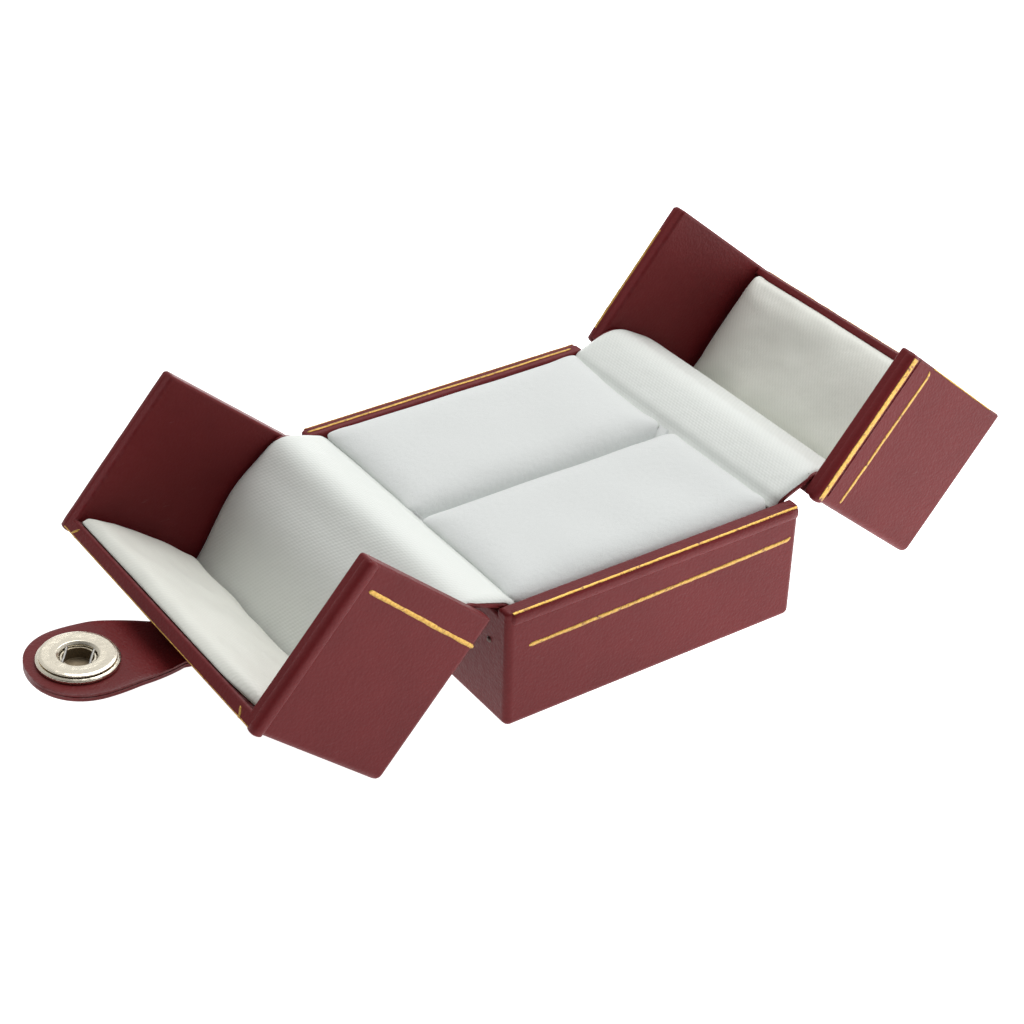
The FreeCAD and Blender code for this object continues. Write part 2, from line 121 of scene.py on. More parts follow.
class Shader:
    """The node tree of a material or of the world, built one node at a time."""

    def __init__(self, name, owners=bpy.data.materials):
        self.owner = owners.new(name)
        self.owner.use_nodes = True
        self.tree = self.owner.node_tree
        self.tree.nodes.clear()

    def node(self, kind, inputs=None, **settings):
        """A new node; each input is another node's output, a plain value or an RGB colour."""
        made = self.tree.nodes.new("ShaderNode" + kind)
        for key, value in settings.items():
            setattr(made, key, value)
        for key, value in (inputs or {}).items():
            socket = made.inputs[key]
            if isinstance(value, bpy.types.NodeSocket):
                self.tree.links.new(value, socket)
            else:
                socket.default_value = (*value, 1) if socket.type == "RGBA" else value
        return made

    def object_mm(self, stretch=(1, 1, 1)):
        """The surface's place in millimetres."""
        place = self.node("TexCoord").outputs["Object"]
        scale = [part / MM for part in stretch]
        return self.node("Mapping", {"Vector": place, "Scale": scale}).outputs[0]

    def uv_mm(self, turn=0.0):
        """The place on the flat cloth in millimetres, turned by some degrees."""
        place = self.node("UVMap").outputs[0]
        return self.node("Mapping", {"Vector": place, "Rotation": (0, 0, radians(turn))}).outputs[0]

    def noise(self, place, scale, detail=3.0, roughness=0.55):
        return self.node("TexNoise", {"Vector": place, "Scale": scale, "Detail": detail,
                                      "Roughness": roughness}).outputs["Fac"]

    def ramp(self, value, low, high, to_low=0.0, to_high=1.0):
        """Maps low..high to to_low..to_high and holds the ends."""
        return self.node("MapRange", {"Value": value, "From Min": low, "From Max": high,
                                      "To Min": to_low, "To Max": to_high}).outputs[0]

    def mix(self, share, first, second):
        return self.node("Mix", {0: share, 6: first, 7: second}, data_type="RGBA").outputs[2]

    def maths(self, operation, first, second):
        return self.node("Math", {0: first, 1: second}, operation=operation).outputs[0]

    def weighed(self, first, second):
        """The sum of two (value, weight) pairs."""
        parts = [self.maths("MULTIPLY", value, weight) for value, weight in (first, second)]
        return self.maths("ADD", *parts)

    def bump(self, height, depth, strength=1.0, over=None):
        """Depth is the relief's height in millimetres."""
        inputs = {"Height": height, "Distance": depth * MM, "Strength": strength}
        if over is not None:
            inputs["Normal"] = over
        return self.node("Bump", inputs).outputs[0]

    def finish(self, **inputs):
        named = {key.replace("_", " "): value for key, value in inputs.items()}
        self.node("OutputMaterial", {0: self.node("BsdfPrincipled", named).outputs[0]})
        return self.owner


def shade(colour, factor, lift=0.0):
    return tuple(part * factor + lift for part in colour)


def edge_wear_and_highlight(shader, radius):
    """High where the surface bends sharply: there the bevelled normal leaves the true one."""
    soft = shader.node("Bevel", {"Radius": radius * MM}, samples=4).outputs[0]
    true = shader.node("NewGeometry").outputs["Normal"]
    dot = shader.node("VectorMath", {0: soft, 1: true}, operation="DOT_PRODUCT").outputs["Value"]
    return shader.ramp(dot, 0.995, 0.90)


def leatherette(name, colour, rough):
    shader = Shader(name)
    place = shader.object_mm()
    broad = shader.noise(place, 0.10, 2.0)
    pebble = shader.node("TexVoronoi", {"Vector": place, "Scale": 2.6, "Smoothness": 0.6},
                         feature="SMOOTH_F1").outputs["Distance"]
    crease = shader.noise(place, 1.1, 5.0, 0.65)
    drawn = shader.object_mm((0.16, 1.0, 0.9))
    scratch = shader.ramp(shader.noise(drawn, 1.9, 4.0, 0.7), 0.66, 0.74)
    dark = shade(colour, 0.90)
    light = shade(colour, 1.06, 0.001)
    # paler tint: wear in the scratches; on the sharp edges it is wear and a painted highlight
    wear_and_highlight = shade(colour, 0.6, 0.22)
    tint = shader.mix(shader.ramp(broad, 0.3, 0.7), dark, light)
    tint = shader.mix(shader.maths("MULTIPLY", pebble, 0.25), tint, dark)
    tint = shader.mix(shader.maths("MULTIPLY", scratch, 0.10), tint, wear_and_highlight)
    patchy = shader.ramp(crease, 0.42, 0.62, 0.02, 0.35)
    # patches along the sharp edges are paled: partly edge wear, partly a painted highlight on the edges
    rubbed_and_highlit = shader.maths("MULTIPLY", edge_wear_and_highlight(shader, 0.35), patchy)
    tint = shader.mix(rubbed_and_highlit, tint, wear_and_highlight)
    normal = shader.bump(crease, 0.035)
    normal = shader.bump(pebble, 0.045, 0.7, normal)
    rough = shader.ramp(crease, 0.3, 0.7, rough - 0.06, rough + 0.08)
    return shader.finish(Base_Color=tint, Roughness=rough, Normal=normal, Specular_IOR_Level=0.15,
                         Coat_Weight=0.02, Coat_Roughness=0.3)


RIB_PITCH = 0.52
THREAD_PITCH = 0.40


def satin(name, colour, turn):
    """Fine twill: thread ribs across the cloth, each stepped along a diagonal."""
    shader = Shader(name)
    ribs = shader.node("TexWave", {"Vector": shader.uv_mm(turn), "Scale": 1 / RIB_PITCH / pi,
                                   "Distortion": 0.6, "Detail": 2.0, "Detail Scale": 1.4},
                       wave_type="BANDS", bands_direction="X").outputs["Fac"]
    threads = shader.node("TexWave", {"Vector": shader.uv_mm(), "Scale": 1 / THREAD_PITCH / pi,
                                      "Distortion": 0.4, "Detail": 1.0},
                          wave_type="BANDS", bands_direction="Y").outputs["Fac"]
    broad = shader.noise(shader.uv_mm(), 0.22, 3.0)
    grain = shader.noise(shader.uv_mm(), 4.2, 3.0, 0.7)
    weave = shader.weighed((ribs, 0.65), (threads, 0.35))
    weave = shader.weighed((weave, 0.6), (grain, 0.5))
    tint = shader.mix(weave, shade(colour, 0.91), colour)
    tint = shader.mix(shader.ramp(broad, 0.35, 0.75, 0.0, 0.25), tint, shade(colour, 0.93))
    normal = shader.bump(broad, 0.12)
    normal = shader.bump(weave, 0.04, 0.7, normal)
    return shader.finish(Base_Color=tint, Roughness=shader.ramp(weave, 0, 1, 0.50, 0.36), Normal=normal,
                         Specular_IOR_Level=0.45, Sheen_Weight=0.25, Sheen_Roughness=0.35,
                         Sheen_Tint=(1, 1, 1))


def flock(name, colour):
    """Short upright fibres over foam."""
    shader = Shader(name)
    place = shader.object_mm()
    fibre = shader.noise(place, 7.5, 4.0, 0.7)
    clump = shader.noise(place, 1.3, 3.0)
    broad = shader.noise(place, 0.12, 2.0)
    tint = shader.mix(shader.ramp(fibre, 0.3, 0.7), shade(colour, 0.90), colour)
    tint = shader.mix(shader.ramp(broad, 0.3, 0.7, 0, 0.35), tint, shade(colour, 0.95))
    normal = shader.bump(clump, 0.06)
    normal = shader.bump(fibre, 0.05, 0.8, normal)
    return shader.finish(Base_Color=tint, Roughness=0.95, Normal=normal, Specular_IOR_Level=0.12,
                         Sheen_Weight=0.55, Sheen_Roughness=0.5, Sheen_Tint=(1, 1, 1))


def metal(name, colour, rough, waves, grain=0.3):
    """Plated sheet metal: slightly uneven, with fine wear."""
    shader = Shader(name)
    place = shader.object_mm()
    uneven = shader.noise(place, grain, 2.0)
    wear = shader.noise(place, 5.0, 5.0, 0.7)
    tint = shader.mix(shader.ramp(wear, 0.35, 0.75), colour, shade(colour, 0.82))
    normal = shader.bump(uneven, waves * 8)
    normal = shader.bump(wear, waves, 0.6, normal)
    return shader.finish(Base_Color=tint, Metallic=1.0, Normal=normal,
                         Roughness=shader.ramp(wear, 0.3, 0.7, rough - 0.05, rough + 0.12))


def gold_foil(name, under):
    """Gold pressed into leatherette: broken where the foil hasn't taken or has worn away."""
    shader = Shader(name)
    place = shader.object_mm()
    broken = shader.ramp(shader.noise(place, 1.15, 5.0, 0.7), 0.32, 0.43)
    mottle = shader.noise(place, 2.6, 3.0)
    gold = shader.mix(shader.ramp(mottle, 0.3, 0.7), (0.42, 0.22, 0.035), (0.72, 0.45, 0.11))
    tint = shader.mix(broken, under, gold)
    normal = shader.bump(mottle, 0.05)
    return shader.finish(Base_Color=tint, Metallic=shader.maths("MULTIPLY", broken, 0.65), Normal=normal,
                         Roughness=shader.ramp(mottle, 0.3, 0.7, 0.28, 0.45))


def paper(name, colour, fleck):
    shader = Shader(name)
    place = shader.object_mm()
    fibre = shader.noise(place, 3.0, 5.0, 0.7)
    broad = shader.noise(place, 0.2, 2.0)
    tint = shader.mix(shader.ramp(fibre, 0.35, 0.7), colour, fleck)
    tint = shader.mix(shader.ramp(broad, 0.3, 0.7, 0, 0.3), tint, shade(colour, 0.85))
    return shader.finish(Base_Color=tint, Roughness=0.85, Normal=shader.bump(fibre, 0.04),
                         Specular_IOR_Level=0.25)


def light_table(name):
    """White, and brighter to the right."""
    shader = Shader(name)
    place = shader.object_mm()
    tint = shader.mix(shader.noise(place, 0.05, 2.0), (0.48, 0.48, 0.48), (0.52, 0.52, 0.52))
    along = shader.node("SeparateXYZ", {0: place}).outputs[0]
    return shader.finish(Base_Color=tint, Roughness=0.8, Emission_Color=(1, 1, 1),
                         Emission_Strength=shader.ramp(along, -60, 35, 0.92, 1.9))


BURGUNDY = (0.150, 0.0145, 0.0165)
# name, maker and what the maker takes
MATERIALS = {name: make(name, *values) for name, make, *values in (
    ("burgundy_leatherette", leatherette, BURGUNDY, 0.42),
    ("tab_leatherette", leatherette, (0.145, 0.017, 0.018), 0.32),
    ("gold_foil", gold_foil, BURGUNDY),
    ("white_satin", satin, (0.80, 0.83, 0.79), 38.0),
    ("pad_satin", satin, (0.80, 0.81, 0.74), -52.0),
    ("white_velvet", flock, (0.775, 0.80, 0.785)),
    ("bottom_paper", flock, (0.045, 0.030, 0.031)),
    ("box_board", paper, (0.33, 0.26, 0.20), (0.42, 0.34, 0.27)),
    ("card", paper, (0.66, 0.63, 0.56), (0.74, 0.71, 0.65)),
    ("hinge_steel", metal, (0.50, 0.48, 0.45), 0.34, 0.006),
    ("snap_brass", metal, (0.80, 0.74, 0.61), 0.20, 0.012, 0.55),
    # darker, rougher brass for the inside of the cap's tube: painted shade in the snap's hole
    ("snap_inside", metal, (0.30, 0.24, 0.16), 0.55, 0.012, 0.55),
    ("rivet_steel", metal, (0.12, 0.085, 0.075), 0.45, 0.006),
    ("spring_steel", metal, (0.42, 0.41, 0.39), 0.3, 0.003),
    ("floor", light_table),
)}


# Mesh helpers ----------------------------------------------------------------

def linked(name, data):
    obj = bpy.data.objects.new(name, data)
    bpy.context.scene.collection.objects.link(obj)
    return obj


def to_mesh(name, bm):
    mesh = bpy.data.meshes.new(name)
    bm.to_mesh(mesh)
    bm.free()
    return mesh


def to_bmesh(obj):
    """The object's mesh as a bmesh; the object is removed."""
    bm = bmesh.new()
    bm.from_mesh(obj.data)
    bpy.data.objects.remove(obj)
    return bm


def to_object(name, bm, place, material, sharp=None):
    """An object from a bmesh in millimetres; place takes it to the row frame.

    Edges that turn by more than sharp degrees are shaded sharp.
    """
    bm.transform(place)
    if place.determinant() < 0:
        bmesh.ops.reverse_faces(bm, faces=bm.faces)
    mesh = to_mesh(name, bm)
    mesh.shade_smooth()
    if sharp:
        mesh.set_sharp_from_angle(angle=radians(sharp))
    mesh.materials.append(MATERIALS[material])
    return linked(name, mesh)


def stands_for(obj, material, *nodes):
    """Hides the CAD nodes that the object stands for, if there are any."""
    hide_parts(*nodes)


def piece(name, bm, body, material, *nodes, sharp=None, place=None):
    """An object that rides on a body; place is the body's own one if none is given."""
    obj = to_object(name, bm, place or PLACES[body], material, sharp)
    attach(obj, body)
    stands_for(obj, material, *nodes)
    return obj


def applied(obj):
    """Replace the object's mesh by its evaluated one, with no modifiers left."""
    graph = bpy.context.evaluated_depsgraph_get()
    mesh = bpy.data.meshes.new_from_object(obj.evaluated_get(graph))
    old = obj.data
    obj.modifiers.clear()
    obj.data = mesh
    bpy.data.meshes.remove(old)
    return obj


def cell_solid(lines, filled):
    """The boundary of a grid's filled cells, with flat neighbours merged.

    lines holds the grid's planes along X, Y and Z; filled tells whether a point is in the solid.
    """
    bm = bmesh.new()
    lines = [sorted(set(round(value, 4) for value in line)) for line in lines]
    counts = [len(line) - 1 for line in lines]
    middles = [[(a + b) / 2 for a, b in zip(line, line[1:])] for line in lines]
    cells = {(i, j, k) for i in range(counts[0]) for j in range(counts[1]) for k in range(counts[2])
             if filled(middles[0][i], middles[1][j], middles[2][k])}
    verts = {}

    def vert(index):
        if index not in verts:
            verts[index] = bm.verts.new([lines[axis][index[axis]] for axis in range(3)])
        return verts[index]

    for cell in sorted(cells):
        for axis in range(3):
            for side in (0, 1):
                beside = list(cell)
                beside[axis] += 2 * side - 1
                if tuple(beside) in cells:
                    continue
                first, second = (axis + 1) % 3, (axis + 2) % 3
                ring = []
                for a, b in ((0, 0), (1, 0), (1, 1), (0, 1)):
                    corner = list(cell)
                    corner[axis] += side
                    corner[first] += a
                    corner[second] += b
                    ring.append(vert(tuple(corner)))
                bm.faces.new(ring if side else ring[::-1])
    bm.normal_update()
    bmesh.ops.dissolve_limit(bm, angle_limit=0.01, verts=bm.verts, edges=bm.edges)
    return bm


def bevelled(bm, width_of):
    """Rounds each outer edge by the width in millimetres that width_of gives for its middle."""
    bm.normal_update()
    widths = []
    for edge in bm.edges:
        middle = (edge.verts[0].co + edge.verts[1].co) / 2
        widths.append(width_of(middle) if edge.is_convex else 0.0)
    mesh = to_mesh("bevelled", bm)
    weights = mesh.attributes.new("bevel_weight_edge", "FLOAT", "EDGE")
    weights.data.foreach_set("value", widths)
    obj = linked("bevelled", mesh)
    modifier = obj.modifiers.new("bevel", "BEVEL")
    modifier.width = 1.0
    modifier.limit_method = "WEIGHT"
    modifier.segments = 5
    modifier.use_clamp_overlap = False
    modifier.miter_outer = "MITER_ARC"
    return to_bmesh(applied(obj))


def joined(first, second):
    """Adds the second bmesh to the first one."""
    mesh = to_mesh("joined", second)
    first.from_mesh(mesh)
    bpy.data.meshes.remove(mesh)
    return first


def loft(rings, caps=True):
    """A surface through rings of points; caps closes the first and the last one."""
    bm = bmesh.new()
    verts = [[bm.verts.new(point) for point in ring] for ring in rings]
    count = len(rings[0])
    for one, other in zip(verts, verts[1:]):
        for index in range(count):
            following = (index + 1) % count
            bm.faces.new((one[index], one[following], other[following], other[index]))
    if caps:
        bm.faces.new(verts[0][::-1])
        bm.faces.new(verts[-1])
    bmesh.ops.recalc_face_normals(bm, faces=bm.faces)
    return bm


def spaced(low, high, count):
    """Evenly spaced values from low to high, in count steps."""
    return [low + (high - low) * index / count for index in range(count + 1)]


def circle(middle, side, up, radius, count):
    """Points round a middle in the plane of two unit vectors."""
    turns = [2 * pi * step / count for step in range(count)]
    return [middle + (side * cos(turn) + up * sin(turn)) * radius for turn in turns]


def lathe(profile, steps=96):
    """Turns a closed outline of (radius, height) about Z."""
    rows = []
    for step in range(steps):
        turn = 2 * pi * step / steps
        rows.append([Vector((r * cos(turn), r * sin(turn), z)) for r, z in profile])
    bm = loft(rows + rows[:1], caps=False)
    bmesh.ops.remove_doubles(bm, verts=bm.verts, dist=1e-5)
    bmesh.ops.dissolve_degenerate(bm, edges=bm.edges, dist=1e-5)
    bmesh.ops.recalc_face_normals(bm, faces=bm.faces)
    return bm


def rounded_outline(corners, radii, steps):
    """A closed outline in 2-D with its corners rounded, each by its own radius."""
    points = []
    count = len(corners)
    for index, corner in enumerate(corners):
        here = Vector(corner)
        before = Vector(corners[index - 1]) - here
        after = Vector(corners[(index + 1) % count]) - here
        reach = radii[index] / tan(before.angle(after) / 2)
        if reach < 1e-6:
            points.append(here)
            continue
        start = here + before.normalized() * reach
        end = here + after.normalized() * reach
        for step in range(steps + 1):
            t = step / steps
            points.append(start.lerp(here, t).lerp(here.lerp(end, t), t))
    return points


def wander(place, scale, seed=0.0):
    """Smooth noise from -1 to 1."""
    return noise.noise(Vector(place) * scale + Vector((seed, seed * 1.7, seed * 0.3)))


# Covers ----------------------------------------------------------------------

def near(value, target):
    return abs(value - target) < 0.01


def base_filled(inset):
    """The base's walls; inset 0 is the outside of the leatherette, SKIN is the board under it."""
    def filled(x, y, z):
        if abs(x) > HALF_W - inset or abs(y) > HALF_D - inset or not FOOT + inset < z < RIM - inset:
            return False
        inner_y = SKIN_Y + inset
        in_tray = abs(x) < IN_X and abs(y) < inner_y and z > FLOOR
        over_side = abs(y) < inner_y and z > BASE_SIDE - inset
        return not (in_tray or over_side)
    return filled


def both_signs(*values):
    return [sign * value for value in values for sign in (-1, 1)]


def base_lines(inset):
    return (both_signs(HALF_W - inset, IN_X), both_signs(HALF_D - inset, SKIN_Y + inset),
            [FOOT + inset, FLOOR, BASE_SIDE - inset, RIM - inset])


def base_rounding(middle):
    if near(middle.z, RIM):
        return 0.55
    if near(middle.z, BASE_SIDE) and near(abs(middle.x), HALF_W):
        return 0.5
    return 0.10


def door_filled(inset, groove=None):
    """A door's walls on the right; groove is a box (x and z range) cut into the end walls."""
    def filled(x, y, z):
        in_box = SEAM + inset < x < HALF_W - inset and abs(y) < HALF_D - inset
        if not in_box or not DOOR_RIM + inset < z < TOP - inset:
            return False
        inner_y = SKIN_Y + inset
        in_hollow = x < IN_X and abs(y) < inner_y and z < CEILING
        under_side = abs(y) < inner_y and z < DOOR_SIDE + inset
        if groove and abs(y) > HALF_D - GROOVE_DEEP:
            (x_low, x_high), (z_low, z_high) = groove
            return not (x_low < x < x_high and z_low < z < z_high)
        return not (in_hollow or under_side)
    return filled


def door_lines(inset, groove=None):
    xs = [SEAM + inset, IN_X, HALF_W - inset]
    ys = [HALF_D - inset, SKIN_Y + inset]
    zs = [DOOR_RIM + inset, DOOR_SIDE + inset, CEILING, TOP - inset]
    if groove:
        xs += groove[0]
        ys.append(HALF_D - GROOVE_DEEP)
        zs += groove[1]
    return xs, both_signs(*ys), zs


def door_rounding(middle):
    if near(middle.x, SEAM) or near(middle.z, DOOR_RIM):
        return 0.45
    if near(middle.z, DOOR_SIDE):
        return 0.4
    return 0.10


def edge_widths(inset, far_z, rounding):
    """How wide edges are rounded: EDGE_R between two outer faces, else what rounding says.

    far_z is the height of the outer face away from the rim. The board has only the outer edges rounded.
    """
    outer = HALF_W - inset, HALF_D - inset, far_z + copysign(inset, RIM - far_z)

    def width(middle):
        places = abs(middle.x), abs(middle.y), middle.z
        if sum(near(place, face) for place, face in zip(places, outer)) >= 2:
            return EDGE_R - inset
        return 0.0 if inset else rounding(middle)
    return width


LOW_BEAD_END = DOOR_RIM + BEAD_WIDE
RIGHT_GROOVE = (SEAM, HALF_W - 1.2), (LOW_BEAD_END, LOW_BEAD_END + GROOVE_WIDE)


def make_cover(body, lines, filled, far_z, rounding, *groove):
    """Leatherette between its outer surface and the board's surface under it."""
    outer = cell_solid(lines(0.0, *groove), filled(0.0, *groove))
    outer = bevelled(outer, edge_widths(0.0, far_z, rounding))
    inner = bevelled(cell_solid(lines(SKIN), filled(SKIN)), edge_widths(SKIN, far_z, rounding))
    bmesh.ops.reverse_faces(inner, faces=inner.faces)
    name, node = body + "_leatherette", body + "_cover"
    obj = piece(name, joined(outer, inner), body, "burgundy_leatherette", node, sharp=35)
    modifier = obj.modifiers.new("weighted_normals", "WEIGHTED_NORMAL")
    modifier.keep_sharp = True
    modifier.weight = 90


# Beads and gold lines --------------------------------------------------------

BEAD_SUNK = 0.6         # the bead's middle lies inside the wall's face
BEAD_LEAN = 2.6         # exponent of its outline, between an ellipse and a rectangle
GOLD_STEP = 0.35


def bead_point(turn, grow):
    """(out of the wall, to the rim) from the middle of a bead; turn 0 points out, 90 to the rim."""
    power = 2 / BEAD_LEAN
    c, s = (copysign(abs(part) ** power, part)
            for part in (cos(radians(turn)), sin(radians(turn))))
    return c * (BEAD_SUNK + BEAD_OUT + grow), s * (BEAD_WIDE / 2 + 0.05 + grow)


def bead_rows(start, end, end_side, away, turns, grow=0.0, round_ends=0.5, step=0.6):
    """Rows of points along a bead from start to end, which lie on the rim at an end wall's face."""
    start, end, out, away = (Vector(part) for part in (start, end, (0, end_side, 0), away))
    outline = [bead_point(turn, grow) for turn in turns]
    length = (end - start).length
    way = (end - start) / length
    ends = [round_ends * (1 - cos(radians(angle))) for angle in range(0, 90, 18)]
    count = int((length - 2 * round_ends) / step)
    stations = ends + [round_ends + step * index for index in range(count)]
    stations += [length - place for place in ends[::-1]]
    rows = []
    for place in stations:
        edge = min(place, length - place)
        shrink = sqrt(max(0.0, 1 - (1 - min(edge / round_ends, 1)) ** 2)) if round_ends else 1.0
        shrink = max(shrink, 0.12)
        middle = start + way * place
        sway = wander(middle, 0.35) * 0.04
        rows.append([middle + out * ((outward + sway) * shrink - BEAD_SUNK)
                     + away * (BEAD_WIDE / 2 - rimward * shrink) for outward, rimward in outline])
    return rows


def make_bead(name, body, start, end, end_side, away):
    rows = bead_rows(start, end, end_side, away, range(0, 360, 15))
    piece(name, loft(rows), body, "burgundy_leatherette")


def thin_strip(rows, normals, proud, sunk):
    """A closed strip over rows of points, from sunk under them to proud over them along the normals."""
    closed = []
    for row, ways in zip(rows, normals):
        over = [point + way * proud for point, way in zip(row, ways)]
        under = [point - way * sunk for point, way in zip(row, ways)]
        closed.append(over + under[::-1])
    return loft(closed)


def make_bead_gold(name, body, start, end, end_side, away, turns):
    """Gold on a bead between two turns of its outline, with a ragged edge."""
    spread = spaced(*turns, 6)
    rows, under = (bead_rows(start, end, end_side, away, spread, grow, round_ends=0.0, step=GOLD_STEP)
                   for grow in (0.0, -0.1))
    normals = [[(a - b).normalized() for a, b in zip(row, below)] for row, below in zip(rows, under)]
    for index, row in enumerate(rows):
        ragged = [wander((index * GOLD_STEP, side * 9.0, 0), 1.1) * 0.05 for side in (0, 1)]
        across = (row[-1] - row[0]).normalized()
        row[0] -= across * ragged[0]
        row[-1] += across * ragged[1]
    piece(name, thin_strip(rows, normals, 0.025, 0.10), body, "gold_foil")


def make_gold_line(name, body, start, end, normal, wide, hook=0.0):
    """A hand-tooled gold line on a flat face; hook turns its far end by this many millimetres."""
    start, end, normal = Vector(start), Vector(end), Vector(normal)
    length = (end - start).length
    way = (end - start) / length
    side = normal.cross(way)
    rows = []
    for along in spaced(0, length, int(length / GOLD_STEP)):
        to_end = min(along, length - along)
        half = wide / 2 * (1 + 0.22 * wander((along, start.x, start.z), 0.9, 3.0))
        half *= min(1.0, 0.45 + to_end / 0.5)
        drift = 0.10 * wander((along, start.y, 0), 0.12, 7.0) + 0.04 * wander((along, 0, 0), 0.7, 1.0)
        bend = hook * max(0.0, 1 - (length - along) / 0.9) ** 2
        middle = start + way * along + side * (drift + bend)
        rows.append([middle - side * half, middle, middle + side * half])
    normals = [[normal] * 3] * len(rows)
    piece(name, thin_strip(rows, normals, 0.02, 0.05), body, "gold_foil")


def make_base_trim():
    for end, side in ENDS.items():
        face = side * HALF_D
        ends = (-HALF_W + 0.5, face, RIM), (HALF_W - 0.3, face, RIM)
        make_bead(f"base_{end}_bead", "base", *ends, side, (0, 0, -1))
        gold = (-22.2, face, RIM), (22.4, face, RIM)
        make_bead_gold(f"base_{end}_rim_gold", "base", *gold, side, (0, 0, -1), (54, 76))
        make_gold_line(f"base_{end}_gold_line", "base", (-19.8, face, 12.2), (21.7, face, 13.0),
                       (0, side, 0), 0.55, 0.25)
    make_gold_line("base_back_top_gold", "base", (-22.3, HALF_D - 1.15, RIM + 0.04),
                   (21.4, HALF_D - 1.15, RIM + 0.04), (0, 0, 1), 0.4)


def make_gold_cord(name, body, start, end, radius):
    """A thin gilt edge along a corner, uneven in thickness."""
    start, end = Vector(start), Vector(end)
    way = (end - start).normalized()
    side = way.orthogonal().normalized()
    up = way.cross(side)
    count = int((end - start).length / 0.4)
    rows = []
    for index in range(count + 1):
        middle = start.lerp(end, index / count)
        thick = radius * (0.75 + 0.45 * wander(middle, 0.5, 2.0))
        thick *= 0.3 if index in (0, count) else 1.0
        rows.append(circle(middle, side, up, thick, 8))
    piece(name, loft(rows), body, "gold_foil")


def make_door_trim():
    for end, side in ENDS.items():
        face = side * HALF_D
        low = (SEAM, face, DOOR_RIM), (HALF_W + 0.3, face, DOOR_RIM)
        make_bead(f"right_door_{end}_bead", "right_door", *low, side, (0, 0, 1))
        make_bead_gold(f"right_door_{end}_rim_gold", "right_door", (SEAM + 0.5, face, DOOR_RIM),
                       (HALF_W - 0.3, face, DOOR_RIM), side, (0, 0, 1), (-20, 24))
        make_gold_line(f"right_door_{end}_gold_line", "right_door", (HALF_W - 1.3, face, RIM + 5.3),
                       (HALF_W - 22.1, face, RIM + 5.6), (0, side, 0), 0.5, -0.4 * side)
        upright = (SEAM, face, DOOR_RIM), (SEAM, face, TOP + 0.3)
        make_bead(f"left_door_{end}_bead", "left_door", *upright, side, (1, 0, 0))
        make_gold_line(f"left_door_{end}_gold_line", "left_door", (HALF_W - 0.3, face, RIM + 4.15),
                       (HALF_W - 20.2, face, RIM + 3.5), (0, side, 0), 0.55)
        inset = side * (HALF_D - 3.6)
        make_gold_line(f"left_door_{end}_gold_tick", "left_door", (SEAM, inset + 0.6 * side, TOP - 0.25),
                       (SEAM, inset - 0.4 * side, TOP - 1.3), (-1, 0, 0), 0.3)
        for body in ("left_door", "right_door"):
            make_gold_line(f"{body}_top_{end}_gold_line", body, (HALF_W - 0.9, inset, TOP),
                           (SEAM + 0.3, inset, TOP), (0, 0, 1), 0.5)
    make_gold_line("right_door_back_low_gold", "right_door", (SEAM + 4.2, HALF_D - 0.4, DOOR_RIM - 0.02),
                   (HALF_W - 1.8, HALF_D - 0.4, DOOR_RIM - 0.02), (0, 0, -1), 0.6)
    for body, x, z, radius in (("left_door", SEAM + 0.07, TOP - 0.2, 0.09),
                               ("right_door", SEAM - 0.03, TOP - 0.25, 0.13)):
        make_gold_cord(body + "_meeting_gold", body, (x, 0.6 - HALF_D, z), (x, HALF_D - 0.6, z), radius)
    make_gold_cord("right_door_corner_gold", "right_door", (SEAM + 0.10, 0.10 - HALF_D, RIM + 5.6),
                   (SEAM + 0.10, 0.10 - HALF_D, RIM + 21.5), 0.13)


def make_meeting_lip():
    """A covered strip inside the right door's meeting edge, beside its pad."""
    near_x, far_x = SEAM + 0.25, SEAM + 1.45
    corners = [(near_x, CEILING + 0.1), (near_x, RIM + 20.3), (far_x, RIM + 20.1), (far_x, CEILING + 0.1)]
    outline = rounded_outline(corners, (0, 0.3, 0.3, 0), 4)
    half = SKIN_Y - 0.02
    rows = []
    for y in spaced(-half, half, 60):
        rows.append([Vector((x, y, z + 0.06 * wander((y, 0, 0), 0.25))) for x, z in outline])
    piece("right_door_meeting_lip", loft(rows), "right_door", "burgundy_leatherette", sharp=50)


# Satin -----------------------------------------------------------------------

def spline(points, step):
    """Points along a smooth curve through the given ones, evenly spaced."""
    padded = [points[0] * 2 - points[1]] + points + [points[-1] * 2 - points[-2]]
    dense = []
    for a, b, c, d in zip(padded, padded[1:], padded[2:], padded[3:]):
        for index in range(24):
            t = index / 24
            dense.append(0.5 * ((2 * b) + (c - a) * t + (2 * a - 5 * b + 4 * c - d) * t ** 2
                                + (3 * b - a - 3 * c + d) * t ** 3))
    dense.append(points[-1])
    runs = [(b - a).length for a, b in zip(dense, dense[1:])]
    total = sum(runs)
    count = max(2, round(total / step))
    result, index, passed = [dense[0]], 0, 0.0
    for number in range(1, count):
        target = total * number / count
        while passed + runs[index] < target:
            passed += runs[index]
            index += 1
        result.append(dense[index].lerp(dense[index + 1], (target - passed) / runs[index]))
    return result + [dense[-1]], total


SATIN_HALF = 22.75
SATIN_T = 0.14
SATIN_STEP = 0.35
SATIN_FLAT = 0.955      # share of its width that isn't turned down at the edges
HELD = 8                # points at the start of the satin's line that aren't smoothed
SMOOTHING = 30
# (inward from the door's side face, up from the base's rim), on the padded side of each door
SIDE_PADDING = {
    "left_door": [(4.05, 4.2), (4.7, 7.1), (4.8, 10.4), (4.3, 13.5), (3.7, 16.6), (3.3, 18.6),
                  (3.15, 20.9)],
    "right_door": [(4.1, 3.6), (4.85, 7.3), (4.8, 12.0), (4.4, 16.0), (3.4, 18.2), (3.05, 20.0)],
}
